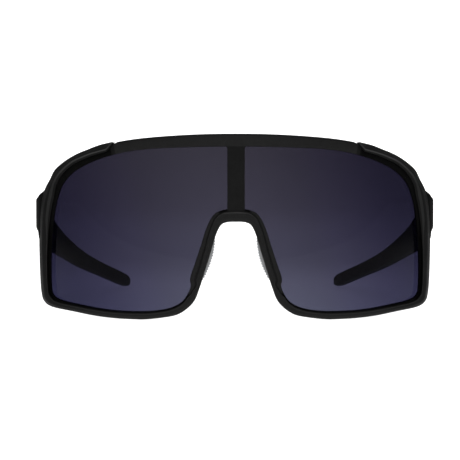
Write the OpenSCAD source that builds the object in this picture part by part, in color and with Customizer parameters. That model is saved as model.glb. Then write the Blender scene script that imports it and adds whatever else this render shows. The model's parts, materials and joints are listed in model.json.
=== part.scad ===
// Wraparound sport sunglasses: one cylindrical shield lens held in a full rim,
// with a clip-in brow bar, a nose saddle and two folding temples.
// The wearer looks along -Y, +X is the wearer's left and +Z is up. The glasses stand
// on their bottom rims and temple tips at z = 0, and the origin is the middle of
// that footprint. Depths below are measured back from the front of the frame.

/* [Front] */
// Height of the front, from the resting face to the top of the brow
front_h = 64.5; // [60:0.5:68]
// Radius of the lens's front face, about an upright axis
lens_r = 90; // [88:1:96]
// Thickness of the lens
lens_t = 1.8; // [1.4:0.1:2.4]
// How far the rim's face stands in front of the lens
rim_proud = 1.6; // [1.2:0.1:2.0]
// How far the jacket stands in front of the rim's face
jacket_proud = 0.6; // [0.3:0.1:0.8]
// Thickness of the rim's lip behind the lens
lip_t = 1.0; // [0.8:0.1:1.4]
// How deep the lens's edge sits in its groove
groove_depth = 1.2; // [0.8:0.1:1.4]
// Width of the centre strut
strut_w = 6.0; // [4:0.5:8]

/* [Nose] */
// Thickness of the nose saddle behind the rim
saddle_t = 1.4; // [1.0:0.1:1.8]
// Width of the saddle's flange, from the edge of the nose gap
flange_w = 4.2; // [3.6:0.1:4.8]
// Thickness of each nose pad
pad_t = 1.2; // [0.8:0.1:1.4]
// Angle at which the pads spread towards the face
pad_spread = 16; // [10:1:22]

/* [Temples] */
// Depth of the hinge line
hinge_y = 46; // [46:0.5:48]
// Length of a temple behind the hinge line
temple_l = 121; // [121:0.5:126]
// Depth at which the rubber ear sock starts
sock_y = 118; // [105:1:130]
// Wall of the ear sock
sock_wall = 0.9; // [0.7:0.1:1.0]

/* [Hinge] */
// Distance of the hinge pin from the middle plane
hinge_x = 69.7; // [69.6:0.05:69.8]
// Radius of the barrels
barrel_r = 1.5; // [1.3:0.05:1.55]
// Height of one barrel
barrel_h = 1.9; // [1.6:0.05:1.95]
// Radius of the screw that is the hinge pin
pin_r = 0.7; // [0.6:0.05:0.8]
// Radial clearance of the temple's barrels on the pin
pin_gap = 0.06; // [0.03:0.01:0.09]
// Thickness of a nylon washer
washer_t = 0.2; // [0.15:0.01:0.22]

/* [Hidden] */
$fn = 48;
shell_fn = 180;
eps = 0.01;
LEFT = 1;
RIGHT = -1;

margin = 2;
overall_d = hinge_y + temple_l;
face_r = lens_r + rim_proud;
jacket_r = face_r + jacket_proud;
lens_back_r = lens_r - lens_t;
back_r = lens_back_r - lip_t;
tongue_r = lens_r + 1.0;
axis_y = jacket_r;
prism_l = 60;
shell_room = 90;
curve_steps = 4;

// One point of a Catmull-Rom curve between b and c.
function crom(a, b, c, d, t) =
  0.5 * (2 * b + (c - a) * t + (2 * a - 5 * b + 4 * c - d) * t * t
         + (3 * b - a - 3 * c + d) * t * t * t);

// A smooth curve through a list of points, open at both ends.
function curve(p) = concat(
  [for (i = [0 : len(p) - 2], j = [0 : curve_steps - 1])
     crom(p[max(i - 1, 0)], p[i], p[i + 1], p[min(i + 2, len(p) - 1)], j / curve_steps)],
  [p[len(p) - 1]]);

// The same for half an outline whose ends lie on the middle plane, so it leaves them level.
function flipped(q) = [-q.x, q.y];
function half_curve(p) = concat(
  [for (i = [0 : len(p) - 2], j = [0 : curve_steps - 1])
     crom(i == 0 ? flipped(p[1]) : p[i - 1], p[i], p[i + 1],
          i == len(p) - 2 ? flipped(p[i]) : p[i + 2], j / curve_steps)],
  [p[len(p) - 1]]);

// Half an outline and its mirror image, as one closed loop.
function both_halves(h) = concat(h, [for (i = [len(h) - 2 : -1 : 1]) flipped(h[i])]);

// The underside is trimmed level where it rests.
function level(h) = [for (q = h) [q.x, max(q.y, 0)]];

// Half outline of the front, as x and z: over the brow and down the side to the foot.
rise = front_h - 64.5;
brow_pts = [
  [0, 64.5 + rise], [20, 64 + rise], [39, 62.3 + rise], [55, 58.5 + rise], [64.2, 53.3],
  [67.4, 48.7], [69.9, 44.2], [71.4, 37.5], [71.9, 29], [71.8, 21], [71.5, 13],
  [71.0, 7.6], [69.9, 4.4], [66.6, 2.6], [58, 1.6], [49, 0.5], [40, 0]
];
// Half outline of the nose gap: in from the foot and up to the middle of the arch.
nose_pts = [
  [33, 0], [25, 0.95], [19.4, 2.45], [14.7, 6.4], [12.45, 11.6], [10.6, 17.5],
  [8.95, 22.8], [7.35, 28.3], [6.2, 31.3], [4.9, 33.3], [2.8, 34.1], [0, 34.2]
];
// Half outline of the opening that the lens shows in.
window_pts = [
  [0, 60.1 + rise], [20, 59.8 + rise], [32, 59.2 + rise], [41, 57.85 + rise],
  [49, 55.6 + rise], [56.2, 52.3], [60.7, 48.5], [63.1, 44.3], [65.0, 37.5], [66.2, 28],
  [66.7, 19], [66.6, 10.6], [65.9, 7.0], [62.8, 5.2], [55, 4.0], [46, 2.95],
  [38, 2.65], [30, 2.9], [23.4, 4.0], [19.2, 6.0], [17.0, 8.6], [15.6, 12.0], [15.8, 14.8],
  [13.9, 20.6], [11.9, 26.7], [10.2, 32.0], [7.8, 36.5], [4.4, 38.3], [0, 38.6]
];

outline = both_halves(level(half_curve(concat(brow_pts, nose_pts))));
window = both_halves(half_curve(window_pts));
nose_gap = both_halves(concat([[0, -9], [33, -9]], half_curve(nose_pts)));

// Where the brow bar ends and the jackets begin: a slanted seam on each side.
seam_top = [39.6, 64 + rise];
seam_low = [45.7, 55];
seam_peak = [0, 80];
// The brow bar's tongues run on under the jackets as a narrow strip along the lens.
tongue_w = 1.5;
tongue_start = 40;
tongue_end = [60.5, 49.5];
tongue_reach = 3;
strut_foot = 37.2;
strut_top = window_pts[0].y + 0.02;
strut_fillet = 0.8;
strut_rise = 0.2;
jacket_sink = 0.3;
cut_room = 1;
arch_box = [36, 44];
// Heights over which the saddle's flange, its wings and the pads run, the depths of the
// wings and pads, and the point in plan about which both are turned towards the face.
flange_z = [11.5, 50];
flange_x = 19;
wing_z = [10.5, 28];
wing_y = [5.6, 14];
wing_side = [0.2, 1.7];
pad_z = [11, 28.5];
pad_y = [8.6, 15.5];
spread_pivot = [10, 6];
pad_x_min = 4;

// Side view of the left temple, as depth behind the hinge line and height.
t_end = temple_l;
temple_top = [
  [0.15, 42.8], [6, 41.3], [14, 38.5], [24, 34.7], [39, 29.7], [54, 24.9], [74, 18.3],
  [94, 12.6], [110, 8.4], [t_end - 3.2, 6.4], [t_end - 0.9, 5.1], [t_end, 3.1]
];
temple_low = [
  [t_end, 3.1], [t_end - 0.7, 1.2], [t_end - 2.6, 0.12], [110, 2.5], [94, 6.7],
  [74, 11.4], [54, 16.2], [39, 19.3], [24, 22.0], [14, 24.6], [6, 27.6], [0.15, 29.6]
];
// Plan view of the left temple's inner and outer faces, as x and depth behind the hinge.
temple_in = [
  [68.5, 0.15], [68.5, 11.5], [69.6, 18], [70.1, 25], [69.3, 38], [67.2, 53], [62.4, 74],
  [56, 94], [49.9, 110], [46.9, t_end - 3], [46.1, t_end - 0.7]
];
temple_out = [
  [47.4, t_end], [49.1, t_end - 0.7], [50.4, t_end - 3], [53.6, 110], [59.6, 94],
  [65.9, 74], [70.6, 53], [72.8, 38], [73.5, 25], [73.5, 12], [73.3, 0.15]
];

// Hinge: five barrels about one pin, the odd ones on the lug and the even ones on the temple.
barrels = 5;
barrel_gap = 0.3;
barrel_pitch = barrel_h + barrel_gap;
barrel_z0 = 30.4;
stack_h = barrels * barrel_h + (barrels - 1) * barrel_gap;
relief_r = barrel_r + 0.4;
head_r = 1.3;
head_h = 0.7;
slot_w = 0.3;
washer_inset = 0.1;
arm_lap = 1;
leaf_x0 = hinge_x - 1.2;
leaf_t = 1.0;
front_leaf_y = [39.2, 44.4];
front_leaf_z = [barrel_z0, barrel_z0 + stack_h];
temple_leaf_y = [47.2, 54.4];
temple_leaf_z = [barrel_z0 + barrel_pitch, barrel_z0 + 3 * barrel_pitch + barrel_h];
leaf_screw_r = 0.6;
leaf_screw_head_r = 1.0;
leaf_screw_l = 3.2;
leaf_screw_head_h = 0.5;
front_leaf_screws_at = [[41.6, 33.2], [41.6, 38.3]];
temple_leaf_screws_at = [[50.0, 35.75], [52.8, 35.75]];
lug_x_in = 68.5;
lug_x_out = 73.3;
lug_end_y = hinge_y - 0.15;
// Front view and plan view of the left lug: a block with bevelled outer corners.
lug_front = [
  [lug_x_in, 45.6], [69.6, 44.8], [71.9, 43.2], [lug_x_out, 41.4],
  [lug_x_out, 31], [72.2, 28.8], [71.8, 26.6], [lug_x_in, 26]
];
lug_plan = [
  [lug_x_in, 35.5], [70.5, 36], [71.7, 36.2], [lug_x_out, 39.5],
  [lug_x_out, lug_end_y], [lug_x_in, lug_end_y]
];
relief_z = 20;
relief_h = 30;
swing_room = [8, 6];

// ---- placing ----

// Moves the front of the frame so that the origin is in the middle of the footprint.
module placed() {
  translate([0, -overall_d / 2, 0]) children();
}

// A left part, or its mirror image for the right.
module on_side(side) {
  placed() mirror([side == RIGHT ? 1 : 0, 0, 0]) children();
}

// ---- shells and outlines ----

// The layer of the front between two radii.
module shell(r_out, r_in) {
  translate([0, axis_y, -margin]) difference() {
    cylinder(r = r_out, h = front_h + 3 * margin, $fn = shell_fn);
    translate([0, 0, -margin]) cylinder(r = r_in, h = front_h + 5 * margin, $fn = shell_fn);
  }
}

// An outline in x and z, cut out of the layer between two radii.
module on_shell(r_out, r_in) {
  intersection() {
    shell(r_out, r_in);
    rotate([90, 0, 0]) translate([0, 0, -prism_l]) linear_extrude(prism_l + margin) children();
  }
}

module outline_2d() {
  polygon(outline);
}

module window_2d() {
  polygon(window);
}

module rim_2d() {
  difference() {
    outline_2d();
    window_2d();
  }
}

// The part of the rim that belongs to the brow bar, between the two seams.
module brow_band_2d() {
  intersection() {
    rim_2d();
    polygon([flipped(seam_low), seam_low, seam_top, seam_peak, flipped(seam_top)]);
  }
}

// A strip along the lens, from under the brow bar to the tongue's end on both sides.
module tongues_2d() {
  difference() {
    intersection() {
      offset(delta = tongue_w) window_2d();
      union() for (s = [-1, 1]) {
        polygon([[s * tongue_start, seam_low.y - margin], [s * tongue_end.x, tongue_end.y],
                 [s * (tongue_end.x + tongue_reach), tongue_end.y + tongue_reach],
                 [s * tongue_start, front_h + margin]]);
      }
    }
    window_2d();
    brow_band_2d();
  }
}

// The strut, with a small fillet on each side where it meets the band.
module strut_2d() {
  half = strut_w / 2;
  difference() {
    union() {
      translate([-half, strut_foot]) square([strut_w, strut_top - strut_foot]);
      for (s = [0, 1]) mirror([s, 0]) translate([half - eps, strut_top - strut_fillet]) difference() {
        square(strut_fillet);
        translate([strut_fillet, 0]) circle(r = strut_fillet);
      }
    }
    brow_band_2d();
  }
}

// The raised jacket: the rim without a step along the lens, but whole at the nose arch.
module jacket_2d() {
  difference() {
    union() {
      difference() {
        outline_2d();
        offset(delta = tongue_w) window_2d();
      }
      intersection() {
        rim_2d();
        translate([-arch_box.x / 2, 0]) square(arch_box);
      }
    }
    brow_band_2d();
  }
}

module lens_2d() {
  offset(delta = groove_depth) window_2d();
}

module lens_solid() {
  on_shell(lens_r, lens_back_r) lens_2d();
}

// ---- front ----

// The left lug, from inside the rim back to the hinge line.
module lug() {
  intersection() {
    rotate([90, 0, 0]) translate([0, 0, -prism_l]) linear_extrude(prism_l) polygon(lug_front);
    linear_extrude(front_h) polygon(lug_plan);
  }
}

// Room for the barrels and for the temple's inner corner as it swings in.
module hinge_relief() {
  translate([hinge_x, hinge_y, relief_z]) cylinder(r = relief_r, h = relief_h);
  translate([hinge_x - swing_room.x, front_leaf_y[1], relief_z])
    cube([swing_room.x, swing_room.y, relief_h]);
}

module leaf_plate(y_range, z_range) {
  translate([leaf_x0, y_range[0], z_range[0]])
    cube([leaf_t, y_range[1] - y_range[0], z_range[1] - z_range[0]]);
}

module leaf_screw(y, z) {
  translate([leaf_x0, y, z]) rotate([0, 90, 0]) {
    cylinder(r = leaf_screw_r, h = leaf_screw_l);
    cylinder(r1 = leaf_screw_head_r, r2 = leaf_screw_r, h = leaf_screw_head_h);
  }
}

module leaf_screw_pair(places) {
  for (p = places) leaf_screw(p[0], p[1]);
}

module front_frame() {
  color("#1c1c1e") placed() difference() {
    union() {
      on_shell(face_r, back_r) difference() {
        rim_2d();
        brow_band_2d();
      }
      on_shell(jacket_r, face_r - jacket_sink) jacket_2d();
      for (s = [0, 1]) mirror([s, 0, 0]) lug();
    }
    lens_solid();
    on_shell(jacket_r + cut_room, lens_r) tongues_2d();
    on_shell(tongue_r + strut_rise, lens_r) strut_2d();
    for (s = [0, 1]) mirror([s, 0, 0]) {
      hinge_relief();
      leaf_plate(front_leaf_y, front_leaf_z);
      leaf_screw_pair(front_leaf_screws_at);
    }
  }
}

module brow_bar() {
  color("#202022") placed() difference() {
    union() {
      on_shell(face_r, back_r) brow_band_2d();
      on_shell(tongue_r, lens_r) tongues_2d();
      on_shell(tongue_r + strut_rise, lens_r) strut_2d();
    }
    lens_solid();
  }
}

module lens() {
  color("#4a4660", 0.7) placed() lens_solid();
}

// ---- nose ----

// A strip along the nose gap's edge, between two distances outside it and two heights.
module nose_strip_2d(sides, z_range) {
  intersection() {
    difference() {
      offset(delta = sides[1]) polygon(nose_gap);
      offset(delta = sides[0]) polygon(nose_gap);
    }
    translate([-flange_x, z_range[0]]) square([2 * flange_x, z_range[1] - z_range[0]]);
  }
}

// The left half of such a strip, run back between two depths and spread towards the face.
module spread_strip(sides, z_range, y_range) {
  translate(spread_pivot) rotate(-pad_spread) translate(-spread_pivot) intersection() {
    rotate([90, 0, 0]) translate([0, 0, -y_range[1]]) linear_extrude(y_range[1] - y_range[0])
      nose_strip_2d(sides, z_range);
    cube([flange_x, prism_l, front_h]);
  }
}

module nose_carrier() {
  color("#1a1a1c") placed() difference() {
    union() {
      on_shell(back_r, back_r - saddle_t) nose_strip_2d([0, flange_w], flange_z);
      for (s = [0, 1]) mirror([s, 0, 0]) spread_strip(wing_side, wing_z, wing_y);
    }
    shell(jacket_r + margin, back_r);
  }
}

module nose_pad(side) {
  color("#c9ccce") on_side(side) difference() {
    spread_strip([wing_side[0] - pad_t, wing_side[0]], pad_z, pad_y);
    cube([pad_x_min, prism_l, front_h]);
  }
}

// ---- temples ----

// Side view and plan view of the temple, shrunk by an amount all round.
module temple_side_2d(inset) {
  offset(delta = -inset) polygon(concat(curve(temple_top), curve(temple_low)));
}

module temple_plan_2d(inset) {
  offset(delta = -inset) polygon(concat(curve(temple_in), curve(temple_out)));
}

// The temple's solid shape between two depths behind the hinge line.
module temple_shape(inset, d0, d1) {
  translate([0, hinge_y, 0]) intersection() {
    rotate([90, 0, 90]) linear_extrude(shell_room) temple_side_2d(inset);
    linear_extrude(front_h) temple_plan_2d(inset);
    translate([0, d0, 0]) cube([shell_room, d1 - d0, front_h]);
  }
}

sock_d = sock_y - hinge_y;
seam_gap = 0.4;
core_lap = 1;
core_end = temple_l - 6;

// The slimmer end of the temple that the sock is pulled over.
module temple_core() {
  temple_shape(sock_wall, sock_d - core_lap, core_end);
}

module temple(side) {
  color("#1e1e20") on_side(side) difference() {
    union() {
      temple_shape(0, 0, sock_d - seam_gap);
      temple_core();
    }
    translate([hinge_x, hinge_y, relief_z]) cylinder(r = relief_r, h = relief_h);
    leaf_plate([hinge_y, temple_leaf_y[1]], temple_leaf_z);
    leaf_screw_pair(temple_leaf_screws_at);
  }
}

module ear_sock(side) {
  color("#2a2a2c") on_side(side) difference() {
    temple_shape(0, sock_d, temple_l + margin);
    temple_core();
  }
}

// ---- hinge ----

// The slots in a leaf that let the other leaf's barrels turn, and the pin's own bore.
module barrel_slots(first) {
  for (i = [first : 2 : barrels - 1]) {
    translate([hinge_x, hinge_y, barrel_z0 + i * barrel_pitch - barrel_gap])
      cylinder(r = relief_r, h = barrel_h + 2 * barrel_gap);
  }
}

// A leaf: its plate, an arm to each of its barrels between two depths, and the barrels.
module leaf(y_range, z_range, first, arms, bore_r) {
  difference() {
    union() {
      leaf_plate(y_range, z_range);
      for (i = [first : 2 : barrels - 1]) {
        translate([leaf_x0, arms[0], barrel_z0 + i * barrel_pitch])
          cube([leaf_t, arms[1] - arms[0], barrel_h]);
        translate([hinge_x, hinge_y, barrel_z0 + i * barrel_pitch])
          cylinder(r = barrel_r, h = barrel_h);
      }
    }
    translate([hinge_x, hinge_y, barrel_z0 - margin])
      cylinder(r = bore_r, h = stack_h + 2 * margin);
  }
}

module front_leaf(side) {
  color("#8f9296") on_side(side) difference() {
    leaf(front_leaf_y, front_leaf_z, 0, [front_leaf_y[1] - arm_lap, hinge_y], pin_r);
    barrel_slots(1);
    leaf_screw_pair(front_leaf_screws_at);
  }
}

module temple_leaf(side) {
  color("#8f9296") on_side(side) difference() {
    leaf(temple_leaf_y, temple_leaf_z, 1, [hinge_y, temple_leaf_y[0] + arm_lap], pin_r + pin_gap);
    barrel_slots(0);
    leaf_screw_pair(temple_leaf_screws_at);
  }
}

module hinge_screw(side) {
  z_top = barrel_z0 + stack_h;
  color("#a5a8ac") on_side(side) translate([hinge_x, hinge_y, 0]) difference() {
    union() {
      translate([0, 0, barrel_z0]) cylinder(r = pin_r, h = stack_h);
      translate([0, 0, z_top]) cylinder(r = head_r, h = head_h);
    }
    translate([-head_r, -slot_w / 2, z_top + head_h - slot_w]) cube([2 * head_r, slot_w, head_h]);
  }
}

module hinge_washers(side) {
  color("#d8d8d0") on_side(side) for (i = [1 : barrels - 1]) {
    z = barrel_z0 + i * barrel_pitch - barrel_gap / 2 - washer_t / 2;
    translate([hinge_x, hinge_y, z]) difference() {
      cylinder(r = barrel_r - washer_inset, h = washer_t);
      translate([0, 0, -margin]) cylinder(r = pin_r, h = washer_t + 2 * margin);
    }
  }
}

module front_leaf_screws(side) {
  color("#a5a8ac") on_side(side) leaf_screw_pair(front_leaf_screws_at);
}

module temple_leaf_screws(side) {
  color("#a5a8ac") on_side(side) leaf_screw_pair(temple_leaf_screws_at);
}

front_frame();
brow_bar();
lens();
nose_carrier();
nose_pad(LEFT);  // nose_pad_left
nose_pad(RIGHT);  // nose_pad_right
temple(LEFT);  // temple_left
temple(RIGHT);  // temple_right
ear_sock(LEFT);  // ear_sock_left
ear_sock(RIGHT);  // ear_sock_right
front_leaf(LEFT);  // front_leaf_left
front_leaf(RIGHT);  // front_leaf_right
temple_leaf(LEFT);  // temple_leaf_left
temple_leaf(RIGHT);  // temple_leaf_right
hinge_screw(LEFT);  // hinge_screw_left
hinge_screw(RIGHT);  // hinge_screw_right
hinge_washers(LEFT);  // hinge_washers_left
hinge_washers(RIGHT);  // hinge_washers_right
front_leaf_screws(LEFT);  // front_leaf_screws_left
front_leaf_screws(RIGHT);  // front_leaf_screws_right
temple_leaf_screws(LEFT);  // temple_leaf_screws_left
temple_leaf_screws(RIGHT);  // temple_leaf_screws_right
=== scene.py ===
import json
import math

import bmesh
import bpy
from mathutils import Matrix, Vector


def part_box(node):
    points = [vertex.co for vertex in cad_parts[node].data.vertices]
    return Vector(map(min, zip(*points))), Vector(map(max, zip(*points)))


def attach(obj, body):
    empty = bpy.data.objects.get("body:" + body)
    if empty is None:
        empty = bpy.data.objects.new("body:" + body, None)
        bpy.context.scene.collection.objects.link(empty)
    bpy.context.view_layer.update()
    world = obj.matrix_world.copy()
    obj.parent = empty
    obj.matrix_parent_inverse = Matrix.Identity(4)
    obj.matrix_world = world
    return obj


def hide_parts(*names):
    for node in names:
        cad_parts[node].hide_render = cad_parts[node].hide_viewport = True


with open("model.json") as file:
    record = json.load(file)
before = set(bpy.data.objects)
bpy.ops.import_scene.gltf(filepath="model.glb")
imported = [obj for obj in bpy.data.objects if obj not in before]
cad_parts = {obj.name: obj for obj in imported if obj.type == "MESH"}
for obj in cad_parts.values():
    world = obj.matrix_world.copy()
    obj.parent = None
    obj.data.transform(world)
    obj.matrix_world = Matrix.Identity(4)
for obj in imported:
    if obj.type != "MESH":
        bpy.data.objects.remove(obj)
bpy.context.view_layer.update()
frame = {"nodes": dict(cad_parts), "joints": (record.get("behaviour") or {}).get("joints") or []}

# ---------------------------------------------------------------- sizes, in millimetres

MM = 0.001
TINY = 1e-9
# The wearer's left is at +X. A side is 1 or -1, and multiplies x.
WORD = {1: "left", -1: "right"}

# Depths are measured back from the foremost point of the front frame.
FRONT_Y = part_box("front_frame")[0].y / MM

# The left hinge's axis, and the sock's two ends as distances behind that axis.
HINGE_AT = next(j["pos_m"] for j in frame["joints"] if j["name"] == "left_temple_fold")
HINGE_X = round(HINGE_AT[0] / MM, 2)
HINGE_D = round(HINGE_AT[1] / MM - FRONT_Y, 2)
SOCK_LOW, SOCK_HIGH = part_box("ear_sock_left")
SOCK_START = round(SOCK_LOW.y / MM - FRONT_Y - HINGE_D, 2)
TEMPLE_L = round(SOCK_HIGH.y / MM - FRONT_Y - HINGE_D, 2)

# The front is wrapped on upright shells about one axis. Their radii, from the back of the
# frame to the face of its outer jacket, and the depth of the axis.
BACK_R = 87.2
LENS_BACK_R = 88.2
LENS_R = 90.0
TONGUE_R = 91.0
FACE_R = 91.6
JACKET_R = 92.2
AXIS_D = JACKET_R

# Depth of the lens's groove, how far the lens reaches into it, and its clearance.
GROOVE = 1.12
LENS_REACH = 1.05
LENS_FIT = 0.02
# Gap between the jacket and the brow bar's tongue.
SEAM_GAP = 0.03

# Half of the front's outline and of the lens opening, as x and z, from the middle of the
# brow round the side and the foot to the middle of the nose arch.
OUTER = [
    (0, 64.5), (20, 64), (39, 62.3), (55, 58.5), (64.2, 53.3), (67.4, 48.7), (69.9, 44.2),
    (71.4, 37.5), (71.9, 29), (71.8, 21), (71.5, 13), (71.0, 7.6), (69.9, 4.4), (66.6, 2.6),
    (58, 1.6), (49, 0.5), (40, 0), (33, 0), (25, 0.95), (19.4, 2.45), (14.7, 6.4),
    (12.45, 11.6), (10.6, 17.5), (8.95, 22.8), (7.35, 28.3), (6.2, 31.3), (4.9, 33.3),
    (2.8, 34.1), (0, 34.2),
]
WINDOW = [
    (0, 60.1), (20, 59.8), (32, 59.2), (41, 57.85), (49, 55.6), (56.2, 52.3), (60.7, 48.5),
    (63.1, 44.3), (65.0, 37.5), (66.2, 28), (66.7, 19), (66.6, 10.6), (65.9, 7.0),
    (62.8, 5.2), (55, 4.0), (46, 2.95), (38, 2.65), (30, 2.9), (23.4, 4.0), (19.2, 6.0),
    (17.0, 8.6), (15.6, 12.0), (15.8, 14.8), (13.9, 20.6), (11.9, 26.7), (10.2, 32.0),
    (7.8, 36.5), (4.4, 38.3), (0, 38.6),
]
# Places along the outline, counted in its points: the seam between the brow bar and the
# jacket, the end of the tongue under the jacket, the foot, the nose rim and its arch.
SEAM_TOP = 2.185
SEAM_LOW = 2.35
TONGUE_END = 4.05
FOOT_START = 12.0
NOSE_START = 20.35
ARCH_START = 26.6
# Over how many places past the tongue's end its last part tapers, and the jacket widens to
# take up the whole rim.
TONGUE_FADE = 0.3
TAKE_OVER = 0.12

# ---------------------------------------------------------------- curves

# Straight steps by which the length of an outline is measured.
FINE_STEPS = 4000
# Points on each rounded corner, and the most of a side that one corner may take.
CORNER_POINTS = 5
CORNER_SHARE = 0.48


def curve_point(a, b, c, d, t):
    """A point on the smooth curve through a, b, c and d, between b and c (Catmull-Rom)."""
    return tuple(
        0.5 * (2 * q + (r - p) * t + (2 * p - 5 * q + 4 * r - s) * t * t
               + (3 * q - p - 3 * r + s) * t ** 3)
        for p, q, r, s in zip(a, b, c, d))


def flipped(p):
    """The mirror image of a point across the middle plane."""
    return (-p[0], p[1])


def half_point(points, u):
    """A point at place u on a half outline whose ends lie on the middle plane."""
    i = min(int(u), len(points) - 2)
    before = flipped(points[1]) if i == 0 else points[i - 1]
    after = flipped(points[i]) if i == len(points) - 2 else points[i + 2]
    x, z = curve_point(before, points[i], points[i + 1], after, u - i)
    return (x, max(z, 0.0))


def places(points, spacing, u0=0.0, u1=None):
    """Places about that far apart along a half outline."""
    u1 = len(points) - 1 if u1 is None else u1
    line = [half_point(points, u0 + (u1 - u0) * k / FINE_STEPS) for k in range(FINE_STEPS + 1)]
    length = [0.0]
    for p, q in zip(line, line[1:]):
        length.append(length[-1] + math.dist(p, q))
    n = max(2, round(length[-1] / spacing))
    out = []
    k = 0
    for i in range(n + 1):
        target = length[-1] * i / n
        while k < FINE_STEPS and length[k + 1] < target:
            k += 1
        span = max(length[min(k + 1, FINE_STEPS)] - length[k], TINY)
        share = min(max((target - length[k]) / span, 0), 1)
        out.append(u0 + (u1 - u0) * min(k + share, FINE_STEPS) / FINE_STEPS)
    return out


def spaced(s0, s1, step):
    """Values from s0 to s1, evenly spaced by no more than the step."""
    n = max(1, math.ceil((s1 - s0) / step))
    return [s0 + (s1 - s0) * k / n for k in range(n + 1)]


def along(table, u):
    """The value at place u, which changes by soft steps, from a list of (place, value)."""
    if u <= table[0][0]:
        return table[0][1]
    for (u0, v0), (u1, v1) in zip(table, table[1:]):
        if u <= u1:
            t = (u - u0) / (u1 - u0)
            t = t * t * (3 - 2 * t)
            return v0 + (v1 - v0) * t
    return table[-1][1]


def smooth_line(points, s):
    """The value at s of a smooth curve through (s, value) points."""
    i = 0
    while i < len(points) - 2 and s > points[i + 1][0]:
        i += 1
    a = points[i]
    b = points[i + 1]
    before = points[max(i - 1, 0)]
    after = points[min(i + 2, len(points) - 1)]
    h = b[0] - a[0]
    straight = (b[1] - a[1]) / h
    slope_a = (b[1] - before[1]) / (b[0] - before[0]) if i else straight
    slope_b = (after[1] - a[1]) / (after[0] - a[0]) if after is not b else straight
    t = min(max((s - a[0]) / h, 0.0), 1.0)
    return ((2 * t ** 3 - 3 * t * t + 1) * a[1] + (t ** 3 - 2 * t * t + t) * h * slope_a
            + (3 * t * t - 2 * t ** 3) * b[1] + (t ** 3 - t * t) * h * slope_b)


def quarter(share):
    """How wide a rounded end still is: 1 where it begins, at a share of 0, and 0 at its tip."""
    return math.sqrt(max(0.0, 1 - max(0.0, share) ** 2))


def skin(r, x):
    """Depth of the shell of radius r at a distance x from the middle plane."""
    return AXIS_D - math.sqrt(r * r - x * x)


def place(x, d, z):
    """A point in metres, from x, depth behind the frame's front and height."""
    return Vector((x * MM, (FRONT_Y + d) * MM, z * MM))


def rounded(corners, steps=CORNER_POINTS - 1):
    """A closed outline through (p, q, radius) corners, each one rounded off."""
    out = []
    n = len(corners)
    for i, (px, py, r) in enumerate(corners):
        a = Vector(corners[i - 1][:2])
        b = Vector((px, py))
        c = Vector(corners[(i + 1) % n][:2])
        to_a = a - b
        to_c = c - b
        reach_a = min(r, CORNER_SHARE * to_a.length)
        reach_c = min(r, CORNER_SHARE * to_c.length)
        start = b + to_a.normalized() * reach_a if to_a.length > TINY else b
        end = b + to_c.normalized() * reach_c if to_c.length > TINY else b
        for k in range(steps + 1):
            t = k / steps
            out.append(tuple((1 - t) ** 2 * start + 2 * t * (1 - t) * b + t * t * end))
    return out


# ---------------------------------------------------------------- meshes

# Distances in metres below which points are merged and faces count as collapsed, and in
# millimetres below which a point counts as on a cut.
MERGE = 2e-7
COLLAPSED = 1e-7
ON_CUT = 1e-5
# Edges sharper than this many degrees stay sharp on the moulded pieces.
EDGE_ANGLE = 32


def smooth(data, angle):
    """Smooth shading, with edges sharper than the angle left sharp."""
    data.polygons.foreach_set("use_smooth", [True] * len(data.polygons))
    data.set_sharp_from_angle(angle=math.radians(angle))


def mesh_object(name, verts, faces, angle=35, slots=None):
    """An object from vertices and faces, with a material slot number for each face."""
    data = bpy.data.meshes.new(name)
    data.from_pydata([tuple(v) for v in verts], [], faces)
    if slots:
        for _ in range(max(slots) + 1):
            data.materials.append(None)
        data.polygons.foreach_set("material_index", slots)
    bm = bmesh.new()
    bm.from_mesh(data)
    bmesh.ops.remove_doubles(bm, verts=bm.verts, dist=MERGE)
    bmesh.ops.dissolve_degenerate(bm, edges=bm.edges, dist=COLLAPSED)
    bmesh.ops.recalc_face_normals(bm, faces=bm.faces)
    bm.to_mesh(data)
    bm.free()
    smooth(data, angle)
    obj = bpy.data.objects.new(name, data)
    bpy.context.scene.collection.objects.link(obj)
    return obj


def loft(rings):
    """Vertices and faces of a tube through rings of equal length, closed at both ends."""
    n = len(rings[0])
    verts = [p for ring in rings for p in ring]
    faces = []
    for i in range(len(rings) - 1):
        for k in range(n):
            m = (k + 1) % n
            faces.append((i * n + k, i * n + m, (i + 1) * n + m, (i + 1) * n + k))
    faces.append(tuple(range(n - 1, -1, -1)))
    faces.append(tuple((len(rings) - 1) * n + k for k in range(n)))
    return verts, faces


def plate(outline, r_front, r_back, step):
    """A piece of the shell between two radii with that outline, bent in strips of that step."""
    bm = bmesh.new()
    bm.faces.new([bm.verts.new((x, 0, z)) for x, z in outline])
    low = min(p[0] for p in outline)
    high = max(p[0] for p in outline)
    x = math.floor(low / step) * step
    while x < high:
        geom = bm.verts[:] + bm.edges[:] + bm.faces[:]
        bmesh.ops.bisect_plane(bm, geom=geom, dist=ON_CUT, plane_co=(x, 0, 0), plane_no=(1, 0, 0))
        x += step
    bm.verts.index_update()
    flat = [(v.co.x, v.co.z) for v in bm.verts]
    n = len(flat)
    verts = [place(x, skin(r_front, x), z) for x, z in flat]
    verts += [place(x, skin(r_back, x), z) for x, z in flat]
    faces = []
    for f in bm.faces:
        ids = [v.index for v in f.verts]
        faces.append(tuple(ids))
        faces.append(tuple(i + n for i in reversed(ids)))
    for e in bm.edges:
        if len(e.link_faces) == 1:
            a, b = (v.index for v in e.verts)
            faces.append((a, b, b + n, a + n))
    bm.free()
    return verts, faces


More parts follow.
